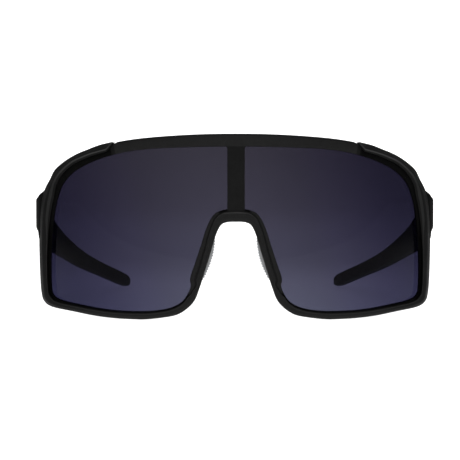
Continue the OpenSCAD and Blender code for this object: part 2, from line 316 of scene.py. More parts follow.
def apply_all(obj):
    """Makes the modifiers' result the object's own mesh."""
    bpy.context.view_layer.update()
    graph = bpy.context.evaluated_depsgraph_get()
    data = bpy.data.meshes.new_from_object(obj.evaluated_get(graph))
    old = obj.data
    obj.modifiers.clear()
    obj.data = data
    data.name = obj.name
    bpy.data.meshes.remove(old)


def boolean(obj, other, operation):
    """Joins the other object to this one, or cuts it away, and removes the other."""
    mod = obj.modifiers.new(operation, "BOOLEAN")
    mod.operation = operation
    mod.solver = "EXACT"
    mod.object = other
    apply_all(obj)
    bpy.data.objects.remove(other)


def bevelled(obj, width, angle, segments=3):
    """Rounds the edges that are sharper than the angle."""
    mod = obj.modifiers.new("edges", "BEVEL")
    mod.width = width * MM
    mod.segments = segments
    mod.limit_method = "ANGLE"
    mod.angle_limit = math.radians(angle)
    apply_all(obj)


# ---------------------------------------------------------------- the hinge's cuts

# Radius of the space in which the barrels turn, and the heights between which it is cut.
RELIEF_R = 1.9
CUT_Z = (20, 50)


def cylinder(x, d, z_range, r, sides=48):
    """An upright cylinder."""
    turns = [2 * math.pi * k / sides for k in range(sides)]
    circle = [(x + r * math.cos(t), d + r * math.sin(t)) for t in turns]
    return mesh_object("cutter", *loft([[place(cx, cd, z) for cx, cd in circle] for z in z_range]))


def cut_barrel_room(obj, side):
    """Cuts the round space for the hinge's barrels."""
    boolean(obj, cylinder(side * HINGE_X, HINGE_D, CUT_Z, RELIEF_R), "DIFFERENCE")


def cut_block(obj, side, x_range, d_range, z_range):
    """Cuts a box that is given as on the left side."""
    x0, x1 = sorted(side * x for x in x_range)
    d0, d1 = d_range
    base = ((x0, d0), (x1, d0), (x1, d1), (x0, d1))
    cutter = mesh_object("cutter", *loft([[place(x, d, z) for x, d in base] for z in z_range]))
    boolean(obj, cutter, "DIFFERENCE")


# ---------------------------------------------------------------- the front's sections

# The sections are this far apart along the outline, and closer together beside the seam.
SECTION_STEP = 0.5
SEAM_STEP = 0.2
WINDOW_STEP = 0.06
# How many points of the window the search for the nearest one looks ahead, and how often
# the matches are evened out.
SEARCH = 160
EVEN_PASSES = 12

seam_places = places(OUTER, SEAM_STEP, SEAM_TOP - 0.07, SEAM_TOP + 0.16)
outline_places = sorted(set(places(OUTER, SECTION_STEP) + seam_places))
window_line = [half_point(WINDOW, u) for u in places(WINDOW, WINDOW_STEP)]


def nearest_window(p, start):
    """The number of the window's point nearest to p, from start on."""
    ahead = range(start, min(start + SEARCH, len(window_line)))
    return min(ahead, key=lambda k: math.dist(p, window_line[k]))


def matched():
    """For each place on the outline, the window's point across the rim from it."""
    found = []
    start = 0
    for u in outline_places:
        start = nearest_window(half_point(OUTER, u), start)
        found.append(start)
    found[-1] = len(window_line) - 1
    for _ in range(EVEN_PASSES):
        between = [(a + 2 * b + c) / 4 for a, b, c in zip(found, found[1:], found[2:])]
        found = [found[0]] + between + [found[-1]]
    out = []
    for k in found:
        i = min(int(k), len(window_line) - 2)
        (ax, az), (bx, bz) = window_line[i:i + 2]
        t = k - i
        out.append((ax + (bx - ax) * t, az + (bz - az) * t))
    return out


# For each section: its place, its point on the outline and its point on the window.
stations = [(u, half_point(OUTER, u), w) for u, w in zip(outline_places, matched())]

# The rim's shape, as lists of (place, millimetres).
# Width of the brow bar's tongue that shows between the jacket and the lens.
TONGUE_W = [(2.35, 1.6), (2.9, 2.0), (3.4, 2.3), (4.05, 2.3)]
# How far back from the face the rim's side begins.
SIDE_BACK = [(2, 1.9), (7, 1.7), (12, 1.5), (14, 0.9)]
# Width of the chamfer between the side and the face.
RIDGE = [(2.2, 2.0), (4, 2.1), (6, 1.9), (8, 1.6), (11, 1.5), (12.5, 1.3), (14, 1.0), (19.5, 1.0),
         (22, 1.1), (25, 1.1), (28, 1.2)]
# Width of the bevel along the inner edge of the face, and the most that it drops.
BEVEL = [(SEAM_LOW - 0.1, 0.5), (SEAM_LOW, 0.9), (3.4, 1.25), (5, 1.6), (6.4, 1.4), (7.2, 1.2),
         (8.4, 0.3), (11, 0.2), (12.5, 0.4), (19, 0.35), (20.5, 0.12), (25.5, 0.12), (28, 0.5)]
BEVEL_DROP = 0.75
# Width and depth of the sunk ledge between the face and the lens.
STEP_W = [(4.2, 2.3), (5, 2.1), (6.2, 1.5), (8, 1.5), (11, 1.3), (12.5, 0.9), (14, 0.4),
          (16, 0.32), (18, 0.3), (20, 0.4), (20.6, 1.1), (21.3, 2.2), (22, 2.2), (23, 1.9),
          (24, 1.6), (25, 1.5), (26, 1.25), (27, 0.75), (28, 0.6)]
STEP_DEEP = [(4, 1.1), (11, 1.1), (14, 0.7), (19, 0.7), (22, 0.8), (28, 0.8)]
# The lip that the nose rim has beside the lens: its width, the share of its height that it
# has, and how far below the face it stays. Where there is none, its corners lie NO_LIP_W
# from the edge.
LIP_W = [(20, 0.1), (20.6, 0.7), (21.3, 1.8), (22, 1.8), (23, 1.5), (24, 1.2), (25, 1.1),
         (26, 0.85), (27, 0.35), (28, 0.15)]
LIP_UP = [(20, 0.0), (20.8, 1.0), (26, 1.0), (27.2, 0.0)]
LIP_DEEP = 0.3
NO_LIP_W = 0.1
# How far the jacket stands out past the outline beside the seam.
PROUD = [(SEAM_TOP, -0.3), (SEAM_TOP + 0.06, 0.42), (2.45, 0.45), (2.9, 0.05), (3.3, 0.0)]


def groove_corners(edge, depth):
    """The corners of the lens's groove, which opens at the rim's inner edge."""
    front = LENS_R + LENS_FIT
    back = LENS_BACK_R - LENS_FIT
    return [(edge, front, 0.0), (edge - depth, front, 0.0), (edge - depth, back, 0.0), (edge, back, 0.0)]


def frame_width(u, width):
    """How much of the rim belongs to the front frame: all of it, except over the tongue."""
    covered = max(width - along(TONGUE_W, u), 0.1)
    return along([(SEAM_TOP, 0.04), (SEAM_LOW + 0.06, covered), (TONGUE_END, covered),
                  (TONGUE_END + TAKE_OVER, width)], u)


def frame_section(u, width):
    """The frame's section, as corners with a distance in from the outline and a radius."""
    edge = frame_width(u, width)
    whole = along([(TONGUE_END, 0.0), (TONGUE_END + TAKE_OVER, 1.0)], u)
    step = max(edge - SEAM_GAP - along(STEP_W, u) * whole, 0.3 * edge)
    bevel = min(along(BEVEL, u), 0.5 * step)
    bevel_round = 0.45 * bevel
    drop = min(0.12 + 0.6 * bevel, BEVEL_DROP)
    ridge = min(along(RIDGE, u), 0.86 * (step - bevel))
    low = JACKET_R - along(STEP_DEEP, u)
    lip_up = along(LIP_UP, u)
    lip = low + (JACKET_R - LIP_DEEP - low) * lip_up
    lip_w = along(LIP_W, u) if lip_up > 0 else NO_LIP_W
    lip_at = max(edge - lip_w, step + 0.3 * (edge - step))
    proud = along(PROUD, u)
    return rounded([
        # The side.
        (-proud, BACK_R, 0.5),
        (-proud, JACKET_R - along(SIDE_BACK, u), 0.7),
        # The face, its crest and the foot of its bevel.
        (ridge, JACKET_R - 0.04, 0.35),
        (step - bevel, JACKET_R, bevel_round),
        (step, JACKET_R - drop, bevel_round),
        # The ledge and the lip.
        (min(step + 0.08, edge), low, 0.15),
        (max(lip_at - 0.06, step + 0.09), low, 0.1),
        (lip_at, lip, 0.12),
        (edge, lip - 0.12 * whole, 0.18),
        # The groove and the back.
        *groove_corners(edge, GROOVE * whole),
        (edge, BACK_R, 0.25),
    ])


# Numbers of those corners, counted from 0: the crest, the bevel, and the ledge with its lip.
CREST_CORNER = 3
BEVEL_CORNERS = (3, 4)
LEDGE_CORNERS = (5, 6, 7, 8)


def brow_section(u, width):
    """The brow bar's section, which becomes the tongue past the seam."""
    start = along([(SEAM_TOP - 0.06, 0.0), (SEAM_TOP, 0.4)], u)
    if u > SEAM_TOP:
        start = max(start, min(frame_width(u, width) + SEAM_GAP, width - 0.3))
    taper = along([(TONGUE_END - 0.1, 1.0), (TONGUE_END + TONGUE_FADE, 0.35)], u)
    start = width - (width - start) * taper
    sunk = along([(SEAM_TOP - 0.06, 0.0), (SEAM_LOW, 1.0)], u)
    top = FACE_R - (FACE_R - TONGUE_R) * sunk
    top_round = along([(SEAM_TOP - 0.1, 1.1), (SEAM_TOP, 0.2)], u)
    foot_round = along([(0.20, 0.0), (0.26, 0.35)], u)
    return rounded([
        (start, BACK_R, 0.4 * (1 - sunk)),
        (start, top, top_round),
        (width, top, foot_round),
        *groove_corners(width, min(GROOVE, (width - start) * 0.7)),
        (width, BACK_R, 0.2),
    ])


def across(station, side, shape, depth):
    """A ring across the rim from (distance in, value) points; depth(value, x) is the depth."""
    _, (ox, oz), (wx, wz) = station
    width = math.dist((ox, oz), (wx, wz))
    ring = []
    for inward, value in shape:
        x = ox + (wx - ox) * inward / width
        z = oz + (wz - oz) * inward / width
        ring.append(place(side * x, depth(value, x), z))
    return ring


def both_sides(section, chosen, over_top):
    """Rings along both halves of the front, joined at the middle plane, and their places."""
    at = [s[0] for s in chosen]
    shapes = [section(u, math.dist(outer, inner)) for u, outer, inner in chosen]
    left = [across(s, 1, shape, skin) for s, shape in zip(chosen, shapes)]
    right = [across(s, -1, shape, skin) for s, shape in zip(chosen, shapes)]
    if over_top:
        return right[::-1] + left[1:], at[::-1] + at[1:]
    return left + right[::-1][1:], at + at[::-1][1:]


def rim_piece(name, section, chosen, over_top, slot_of, end_slot):
    """A tube along the front whose faces get their material slots from place and corner."""
    rings, at = both_sides(section, chosen, over_top)
    verts, faces = loft(rings)
    n = len(rings[0])
    slots = []
    for i in range(len(faces) - 2):
        corner, point = divmod(i % n, CORNER_POINTS)
        slots.append(slot_of(at[i // n], corner, point))
    slots += [end_slot, end_slot]
    return mesh_object(name, verts, faces, EDGE_ANGLE, slots)


# ---------------------------------------------------------------- pieces of the front

# Material slots of the front frame and of the brow bar. The crest slot holds a painted highlight; the
# ledge, slope and strut slots hold painted shade.
FRAME_FACE, FRAME_CREST, FRAME_LEDGE, FRAME_SLOPE = range(4)
BROW_FACE, BROW_LEDGE, BROW_STRUT, BROW_SLOPE = range(4)

# The hinge lug: how far out it stands at each depth, where its side leaves the shoulder, its
# inner side, its top and how it falls, its first and last depths and its end's rounding.
LUG_OUT = [(35.6, 70.9), (36.2, 71.8), (37.6, 72.6), (39.4, 73.2), (41, 73.3)]
LUG_SHOULDER = 71.8
LUG_IN = 68.5
LUG_TOP = 44.9
LUG_FALL = 0.25
LUG_FALL_FROM = 38
LUG_START = 35.6
LUG_END = 45.85
LUG_ROUND = 0.25
LUG_STEP = 0.35
LUG_RINGS = 29
# The room behind the lug for the temple's end, and the pocket for the front hinge leaf.
ROOM_X = (HINGE_X - 8, HINGE_X)
ROOM_D = (44.4, 50.4)
FRONT_LEAF_X = (68.4, 69.5)
FRONT_LEAF_D = (39.2, 45)
FRONT_LEAF_Z = (30.4, 41.1)


def lug(side):
    """The hinge lug: a block with bevelled outer corners that grows out of the rim's side."""
    depths = [LUG_START + LUG_STEP * k for k in range(LUG_RINGS)]
    depths += [LUG_END - LUG_ROUND, LUG_END - 0.1, LUG_END]
    rings = []
    for d in depths:
        out = along(LUG_OUT, d)
        inset = LUG_ROUND * (1 - quarter((d - (LUG_END - LUG_ROUND)) / LUG_ROUND))
        top_z = LUG_TOP - LUG_FALL * max(0.0, d - LUG_FALL_FROM)
        shoulder = min(LUG_SHOULDER, out - 0.2)
        section = rounded([
            (LUG_IN, top_z + 0.4 - inset, 0.3),
            (LUG_IN + 1.1, top_z - inset, 0.6),
            (shoulder - inset, 43.2, 0.8),
            (out - inset, 41.5, 0.5),
            (out - inset, 31.1, 0.6),
            (shoulder + 0.3 - inset, 28.9, 0.6),
            (shoulder - inset, 26.9, 0.6),
            (LUG_IN, 26.4 + inset, 0.3),
        ])
        rings.append([place(side * x, d, z) for x, z in section])
    return mesh_object("lug", *loft(rings))


def frame_slot(u, corner, point):
    """The slot of a face that starts at that point of that corner of frame_section."""
    # The crest gets a painted highlight; the bevel's slope and the ledge get painted shade.
    if corner == CREST_CORNER and point < CORNER_POINTS - 1:
        return FRAME_CREST
    if corner in BEVEL_CORNERS and u < FOOT_START:
        return FRAME_SLOPE
    if corner in LEDGE_CORNERS and not NOSE_START < u < ARCH_START:
        return FRAME_LEDGE
    return FRAME_FACE


def make_front_frame():
    """The moulded frame from seam to seam, with its two hinge lugs."""
    chosen = [s for s in stations if s[0] >= SEAM_TOP]
    obj = rim_piece("front_frame_shell", frame_section, chosen, False, frame_slot, FRAME_FACE)
    for side in (1, -1):
        boolean(obj, lug(side), "UNION")
        cut_barrel_room(obj, side)
        cut_block(obj, side, ROOM_X, ROOM_D, CUT_Z)
        cut_block(obj, side, FRONT_LEAF_X, FRONT_LEAF_D, FRONT_LEAF_Z)
    smooth(obj.data, EDGE_ANGLE)
    return obj


# The strut: half its width, its foot and top, how it flares into the brow, its edges' bevel,
# its gap to the lens and the strips that it is bent in.
STRUT_HALF = 3.0
STRUT_FOOT = 37.2
STRUT_TOP = 59.3
STRUT_FLARE = 0.8
STRUT_EDGE = 0.35
STRUT_GAP = 0.03
STRUT_STRIP = 0.75
FLARE_STEPS = 6


def strut_outline():
    """The strut's outline in x and z, flared at the top."""
    right = [(STRUT_HALF, STRUT_FOOT), (STRUT_HALF, STRUT_TOP)]
    for k in range(1, FLARE_STEPS + 1):
        angle = math.pi / 2 * k / FLARE_STEPS
        x = STRUT_HALF + STRUT_FLARE - STRUT_FLARE * math.cos(angle)
        right.append((x, STRUT_TOP + STRUT_FLARE * math.sin(angle)))
    return right + [flipped(p) for p in reversed(right)]


def make_strut():
    """The centre strut, which stands in front of the lens."""
    verts, faces = plate(strut_outline(), FACE_R, LENS_R + STRUT_GAP, STRUT_STRIP)
    strut = mesh_object("strut", verts, faces, slots=[BROW_STRUT] * len(faces))
    bevelled(strut, STRUT_EDGE, 40)
    smooth(strut.data, EDGE_ANGLE)
    return strut


def brow_slot(u, corner, point):
    """The slot of a face of the brow bar, which depends on its place alone."""
    # Past the seam the tongue gets painted shade, with a lighter painted shade just before it.
    if u > SEAM_LOW - 0.04:
        return BROW_LEDGE
    return BROW_SLOPE if u > SEAM_TOP + 0.04 else BROW_FACE


def make_brow_bar():
    """The top band with its tongues and its strut, as one mesh."""
    chosen = [s for s in stations if s[0] <= TONGUE_END + TONGUE_FADE]
    obj = rim_piece("brow_bar_shell", brow_section, chosen, True, brow_slot, BROW_LEDGE)
    strut = make_strut()
    bm = bmesh.new()
    bm.from_mesh(obj.data)
    bm.from_mesh(strut.data)
    bm.to_mesh(obj.data)
    bm.free()
    bpy.data.objects.remove(strut)
    return obj


# Distance between the lens's points, and the strips that it is bent in.
LENS_STEP = 0.8
LENS_STRIP = 1.0


def make_lens():
    """The shield, with its edge hidden in the groove of the rim."""
    line = [half_point(WINDOW, u) for u in places(WINDOW, LENS_STEP)]
    edge = []
    for i, p in enumerate(line):
        a = line[i - 1] if i else flipped(line[1])
        b = line[i + 1] if i + 1 < len(line) else flipped(line[-2])
        t = Vector((b[0] - a[0], b[1] - a[1])).normalized()
        edge.append((p[0] - LENS_REACH * t.y, p[1] + LENS_REACH * t.x))
    edge[0] = (0.0, edge[0][1])
    edge[-1] = (0.0, edge[-1][1])
    outline = edge + [flipped(p) for p in reversed(edge[1:-1])]
    return mesh_object("shield_lens", *plate(outline, LENS_R, LENS_BACK_R, LENS_STRIP), angle=40)


# The saddle's flange: its width and thickness, and the places over which each end rounds
# off. The wings stand back from it, by a depth that changes along the outline, and lean
# outwards.
FLANGE_W = 4.2
FLANGE_T = 1.4
FLANGE_END = 0.28
WING_DEEP = [(21.1, 0.0), (21.7, 6.4), (24.0, 6.4), (25.3, 0.0)]
WING_LEAN = math.tan(math.radians(16))


def make_nose_carrier():
    """The saddle: a flange behind the nose arch, with a wing on each side for its pad."""
    chosen = [s for s in stations if s[0] >= NOSE_START]

    def ring(station, side):
        u, outer, inner = station
        close = max(0.0, 1 - (u - NOSE_START) / FLANGE_END)
        width = min(FLANGE_W, math.dist(outer, inner) - 0.15) * math.sqrt(max(0.02, 1 - close * close))
        back = FLANGE_T + along(WING_DEEP, u)
        lean = WING_LEAN * (back - FLANGE_T)
        shape = rounded([
            (0.05, 0.02, 0.25),
            (width, 0.02, 0.3),
            (width, FLANGE_T, 0.45),
            (1.9, FLANGE_T, 0.5),
            (1.8 + lean, back, 0.5),
            (0.25 + lean, back, 0.4),
            (0.15, 1.0, 0.3),
        ])
        return across(station, side, shape, lambda h, x: skin(BACK_R, x) + h)

    left = [ring(s, 1) for s in chosen]
    right = [ring(s, -1) for s in chosen]
    return mesh_object("nose_saddle", *loft(left + right[::-1][1:]), angle=38)


# The pad: its two ends as places on the outline, and the length over which each rounds off.
PAD_FROM = 21.25
PAD_TO = 24.25
PAD_END = 2.2
# Its back's distance out from the outline, its thickness at the ends and the swell between.
PAD_SEAT = 0.2
PAD_THIN = 0.25
PAD_SWELL = 1.3
# The depths of its front and back edges at its very ends, and how far they spread from there.
PAD_FRONT = 4.6
PAD_BACK = 5.0
PAD_FRONT_SPREAD = 3.1
PAD_BACK_SPREAD = 4.3
# Its ribs, and the distance between its sections.
RIB_PITCH = 1.0
RIB_HEIGHT = 0.4
PAD_STEP = 0.1


def make_nose_pad(side):
    """A soft pad along the wing, with ribs across it."""
    chosen = places(OUTER, PAD_STEP, PAD_FROM, PAD_TO)
    line = [half_point(OUTER, u) for u in chosen]
    total = sum(math.dist(a, b) for a, b in zip(line, line[1:]))
    length = 0.0
    rings = []
    for i, (u, p) in enumerate(zip(chosen, line)):
        if i:
            length += math.dist(p, line[i - 1])
        q = half_point(OUTER, u + 0.01)
        t = Vector((q[0] - p[0], q[1] - p[1])).normalized()
        out = Vector((t.y, -t.x))
        to_end = min(length, total - length)
        close = max(quarter(1 - min(to_end / PAD_END, 1.0)), 0.03)
        swell = math.sin(math.pi * min(max(length / total, 0.0), 1.0))
        rib = (0.5 + 0.5 * math.cos(2 * math.pi * length / RIB_PITCH)) * RIB_HEIGHT * close
        front = PAD_FRONT - PAD_FRONT_SPREAD * close
        back = PAD_BACK + PAD_BACK_SPREAD * close
        thick = PAD_THIN + PAD_SWELL * swell
        shape = rounded([
            (PAD_SEAT, front + 0.3, 0.3),
            (PAD_SEAT, back, 0.3),
            (PAD_SEAT - thick * 0.75 - rib, back, 0.8),
            (PAD_SEAT - thick - rib, (front + back) / 2, 2.0),
            (PAD_SEAT - thick * 0.8 - rib, front, 0.5),
        ], steps=5)
        ring = []
        for a, h in shape:
            a += WING_LEAN * max(h - FLANGE_T, 0.0)
            ring.append(place(side * (p[0] + out.x * a), skin(BACK_R, p[0]) + h, p[1] + out.y * a))
        rings.append(ring)
    return mesh_object("nose_pad_soft_" + WORD[side], *loft(rings), angle=50)


# ---------------------------------------------------------------- temples

# The left temple's top and low edges and its inner and outer faces, as (distance behind the
# hinge, height or x).
TEMPLE_TOP = [(0, 42.8), (6, 41.3), (14, 38.5), (24, 34.7), (39, 29.7), (54, 24.9), (74, 18.3),
              (94, 12.5), (110, 8.1), (117.8, 5.9), (121, 5.2)]
TEMPLE_LOW = [(0, 29.6), (6, 27.6), (14, 24.6), (24, 22.0), (39, 19.3), (54, 16.2), (74, 11.4),
              (94, 6.7), (110, 2.5), (117.8, 0.5), (121, -0.1)]
TEMPLE_IN = [(0, 68.5), (6, 68.5), (11.5, 68.5), (18, 69.6), (25, 70.1), (38, 69.3), (53, 67.2),
             (74, 62.4), (94, 56), (110, 49.9), (118, 46.9), (121, 45.8)]
TEMPLE_OUT = [(0, 73.3), (12, 73.5), (25, 73.5), (38, 72.8), (53, 70.6), (74, 65.9), (94, 59.6),
              (110, 53.6), (118, 50.4), (121, 49.2)]
# The lengths over which the tip rounds off in height and in thickness.
TIP_Z = 5.0
TIP_X = 0.9
# The bevels of the outer face's edges, in thickness and height: along the arm, what the root
# adds to them, how that fades behind the hinge, and both on the sock.
ARM_BEVEL = (0.7, 0.8)
ROOT_BEVEL = (1.5, 2.6)
ROOT_FADE = [(0, 1.0), (16, 0.0)]
SOCK_BEVEL = 0.9
# The rounding of the bevels' corners and of the inner face's, and the outer face's crown.
TEMPLE_CORNER = 0.5
INNER_CORNER = 0.7
CROWN = 0.12
# Distances between sections on the arm, on its tongue in the sock and on the sock.
ARM_STEP = 0.8
TONGUE_STEP = 0.6
SOCK_STEP = 0.25
# The pocket for the temple hinge leaf.
TEMPLE_LEAF_X = (68.2, 69.5)
TEMPLE_LEAF_D = (HINGE_D, 54.4)
TEMPLE_LEAF_Z = (32.6, 38.9)
# The sock's grip grooves: their pitch and depth, and where they fade in and out.
GRIP_PITCH = 2.2
GRIP_DEEP = 0.28
GRIP = [(SOCK_START + 5, 0.0), (SOCK_START + 7, 1.0), (TEMPLE_L - 9, 1.0), (TEMPLE_L - 7, 0.0)]
# The length of the sock's tip, and the rings that close it.
SOCK_TIP = 3
SOCK_TIP_RINGS = 12


def temple_ring(side, s, shrink=0.0, soft=0.0, rib=0.0):
    """The temple's section at a distance s behind the hinge, or the sock's where soft is 1."""
    top = smooth_line(TEMPLE_TOP, s)
    low = smooth_line(TEMPLE_LOW, s)
    inner = smooth_line(TEMPLE_IN, s)
    outer = smooth_line(TEMPLE_OUT, s)
    close_z = max(quarter((s - (TEMPLE_L - TIP_Z)) / TIP_Z), 0.05)
    close_x = max(quarter((s - (TEMPLE_L - TIP_X)) / TIP_X), 0.05)
    mid_z = (top + low) / 2
    mid_x = (inner + outer) / 2
    half_z = (top - low) / 2 * close_z - shrink
    half_x = (outer - inner) / 2 * close_x - shrink
    root = along(ROOT_FADE, s)
    hard = 1 - soft
    bevel_x, bevel_z = ((r * root + a) * hard + SOCK_BEVEL * soft for r, a in zip(ROOT_BEVEL, ARM_BEVEL))
    bevel_x = min(bevel_x, half_x * 0.8)
    bevel_z = min(bevel_z, half_z * 0.7)
    shape = rounded([
        (-half_x + rib, half_z, INNER_CORNER),
        (half_x - bevel_x, half_z, TEMPLE_CORNER),
        (half_x, half_z - bevel_z, TEMPLE_CORNER),
        (half_x + CROWN * hard, 0.0, 2.0),
        (half_x, -half_z + bevel_z, TEMPLE_CORNER),
        (half_x - bevel_x, -half_z, TEMPLE_CORNER),
        (-half_x + rib, -half_z, INNER_CORNER),
        (-half_x + rib, 0.0, 1.0),
    ])
    return [place(side * (mid_x + x), HINGE_D + s, mid_z + z) for x, z in shape]


def make_temple(side):
    """The arm, with a thinner tongue at its end that the sock covers."""
    rings = [temple_ring(side, 0.15, shrink=0.12)]
    rings += [temple_ring(side, s) for s in spaced(0.3, SOCK_START - 0.6, ARM_STEP)]
    rings.append(temple_ring(side, SOCK_START - 0.4, shrink=0.15))
    tongue = spaced(SOCK_START - 0.38, SOCK_START + 0.9, TONGUE_STEP)
    rings += [temple_ring(side, s, shrink=0.75) for s in tongue]
    obj = mesh_object("temple_arm_" + WORD[side], *loft(rings), angle=EDGE_ANGLE)
    cut_barrel_room(obj, side)
    cut_block(obj, side, TEMPLE_LEAF_X, TEMPLE_LEAF_D, TEMPLE_LEAF_Z)
    smooth(obj.data, EDGE_ANGLE)
    return obj


def make_ear_sock(side):
    """The rubber sleeve, with shallow grip grooves across its inner face."""
    rings = [temple_ring(side, SOCK_START, shrink=shrink, soft=1.0) for shrink in (0.7, 0.12)]
    for s in spaced(SOCK_START + 0.15, TEMPLE_L - SOCK_TIP, SOCK_STEP):
        groove = max(0.0, math.cos(2 * math.pi * (s - SOCK_START) / GRIP_PITCH)) ** 2
        rings.append(temple_ring(side, s, soft=1.0, rib=GRIP_DEEP * along(GRIP, s) * groove))
    for k in range(1, SOCK_TIP_RINGS + 1):
        s = TEMPLE_L - SOCK_TIP + SOCK_TIP * math.sin(math.pi / 2 * k / SOCK_TIP_RINGS)
        rings.append(temple_ring(side, s, soft=1.0))
    return mesh_object("ear_sock_rubber_" + WORD[side], *loft(rings), angle=45)


# ---------------------------------------------------------------- materials


class Nodes:
    """A few short calls for building a material's nodes."""

    def __init__(self, name):
        self.material = bpy.data.materials.new(name)
        self.material.use_nodes = True
        self.tree = self.material.node_tree
        self.shader = self.tree.nodes["Principled BSDF"]
        self.coords = self.tree.nodes.new("ShaderNodeTexCoord")

    def add(self, kind, **inputs):
        """A new node, with values for its inputs."""
        node = self.tree.nodes.new(kind)
        for key, value in inputs.items():
            node.inputs[key.replace("_", " ")].default_value = value
        return node

    def link(self, a, out, b, into):
        """Feeds an output of node a into an input of node b."""
        self.tree.links.new(a.outputs[out], b.inputs[into])

    def set(self, **values):
        """Sets the shader's own sockets."""
        for key, value in values.items():
            self.shader.inputs[key.replace("_", " ")].default_value = value

    def noise(self, scale, detail=3.0, roughness=0.55):
        """A noise fixed to the piece. A larger scale makes it finer."""
        node = self.add("ShaderNodeTexNoise", Scale=scale, Detail=detail, Roughness=roughness)
        self.link(self.coords, "Object", node, "Vector")
        return node

    def ramp(self, source, out, stops):
        """A colour ramp from (position, grey or colour) stops."""
        node = self.tree.nodes.new("ShaderNodeValToRGB")
        elements = node.color_ramp.elements
        while len(elements) < len(stops):
            elements.new(0.5)
        for element, (at, tone) in zip(elements, stops):
            element.position = at
            element.color = (*tone, 1.0) if hasattr(tone, "__len__") else (tone, tone, tone, 1.0)
        self.link(source, out, node, "Fac")
        return node

    def drive(self, socket, noise, low, high, ends=(0.3, 0.7)):
        """Feeds a shader socket with values between low and high that follow a noise."""
        node = self.ramp(noise, "Fac", [(ends[0], low), (ends[1], high)])
        self.link(node, "Color", self.shader, socket)

    def grain(self, noise, strength, distance):
        """Bumps the surface by a noise."""
        node = self.add("ShaderNodeBump", Strength=strength, Distance=distance)
        self.link(noise, "Fac", node, "Height")
        self.link(node, "Normal", self.shader, "Normal")

    def math(self, operation, value, source, out):
        """A maths node that works on a source and one number."""
        node = self.tree.nodes.new("ShaderNodeMath")
        node.operation = operation
        node.inputs[1].default_value = value
        self.link(source, out, node, 0)
        return node

    def sideways(self, near, far, shift=0.0, lean=0.0):
        """0 to 1 between two distances from a plane near the middle, which may lean with height."""
        beside = self.tree.nodes.new("ShaderNodeVectorMath")
        beside.operation = "DOT_PRODUCT"
        beside.inputs[1].default_value = (1.0, 0.0, lean)
        self.link(self.coords, "Object", beside, 0)
        moved = self.math("ADD", shift, beside, "Value")
        away = self.math("ABSOLUTE", 0.0, moved, 0)
        span = self.add("ShaderNodeMapRange", From_Min=near, From_Max=far)
        span.interpolation_type = "SMOOTHSTEP"
        self.link(away, 0, span, "Value")
        return span

    def multiplied(self, a, b):
        """One colour times another."""
        mix = self.tree.nodes.new("ShaderNodeMix")
        mix.data_type = "RGBA"
        mix.blend_type = "MULTIPLY"
        mix.inputs["Factor"].default_value = 1.0
        self.link(a, "Color", mix, "A")
        self.link(b, "Color", mix, "B")
        return mix


def matte_plastic(name, dark, light, rough=(0.5, 0.62), grain=0.35, shine=0.1, ends=1.0, dull=0.0):
    """Moulded nylon with a little mottling and a pebbled grain.

    Towards the two ends of the front its colour is multiplied by ends, a painted shade
    that darkens the sides, and dull is added to its roughness.
    """
    m = Nodes(name)
    colour = m.ramp(m.noise(900.0, 4.0), "Fac", [(0.3, dark), (0.75, light)])
    outward = m.sideways(0.045, 0.070)
    # Painted shade: the colour darkens towards the two ends of the front by the factor ends.
    shade = m.ramp(outward, "Result", [(0.0, 1.0), (1.0, ends)])
    m.link(m.multiplied(colour, shade), "Result", m.shader, "Base Color")
    roughness = m.ramp(m.noise(160.0, 3.0), "Fac", [(0.3, rough[0]), (0.7, rough[1])])
    duller = m.math("MULTIPLY_ADD", dull, outward, "Result")
    m.link(roughness, "Color", duller, 2)
    m.link(duller, 0, m.shader, "Roughness")
    m.grain(m.noise(5200.0, 2.0), grain, 0.00006)
    m.set(Specular_IOR_Level=shine)
    return m.material


def rubber(name, dark, light):
    """Dull, faintly mottled rubber with a fine grain."""
    m = Nodes(name)
    mottling = m.noise(420.0, 5.0)
    m.drive("Base Color", mottling, dark, light)
    m.drive("Roughness", mottling, 0.7, 0.82)
    m.grain(m.noise(7000.0, 2.0), 0.45, 0.00005)
    m.set(Specular_IOR_Level=0.25, Sheen_Weight=0.05)
    return m.material


def tinted_lens():
    """Smoke at the brow fading to a paler violet grey at the foot, with painted shade at the ends."""
    m = Nodes("lens_smoke_violet")
    split = m.tree.nodes.new("ShaderNodeSeparateXYZ")
    m.link(m.coords, "Object", split, "Vector")
    height = m.add("ShaderNodeMapRange", From_Min=0.0, From_Max=0.064)
    m.link(split, "Z", height, "Value")
    upright = m.ramp(height, "Result", [
        (0.0, (0.0920, 0.0960, 0.1460)), (0.20, (0.0730, 0.0730, 0.1130)),
        (0.32, (0.0500, 0.0490, 0.0770)), (0.60, (0.0325, 0.0305, 0.0460)),
        (0.95, (0.0265, 0.0245, 0.0345))])
    # Painted shade: the tint grows darker and more violet towards the lens's ends, leaning with height.
    ends = m.ramp(m.sideways(0.0, 0.070, shift=-0.0066, lean=0.25), "Result", [
        (0.0, (1.0, 1.0, 1.0)), (0.33, (0.76, 0.75, 0.80)), (0.50, (0.66, 0.64, 0.75)),
        (0.82, (0.42, 0.40, 0.55)), (1.0, (0.28, 0.27, 0.41))])
    m.link(m.multiplied(upright, ends), "Result", m.shader, "Base Color")
    m.drive("Roughness", m.noise(60.0, 3.0), 0.02, 0.035)
    m.set(Transmission_Weight=1.0, IOR=1.12)
    return m.material


def clear_silicone():
    """Milky silicone, a little cloudy."""
    m = Nodes("pad_clear_silicone")
    cloudy = m.noise(350.0, 4.0)
    m.drive("Base Color", cloudy, (0.46, 0.47, 0.48), (0.60, 0.61, 0.62))
    m.drive("Roughness", cloudy, 0.30, 0.42)
    m.grain(m.noise(2600.0, 3.0), 0.3, 0.00005)
    m.set(IOR=1.41)
    return m.material


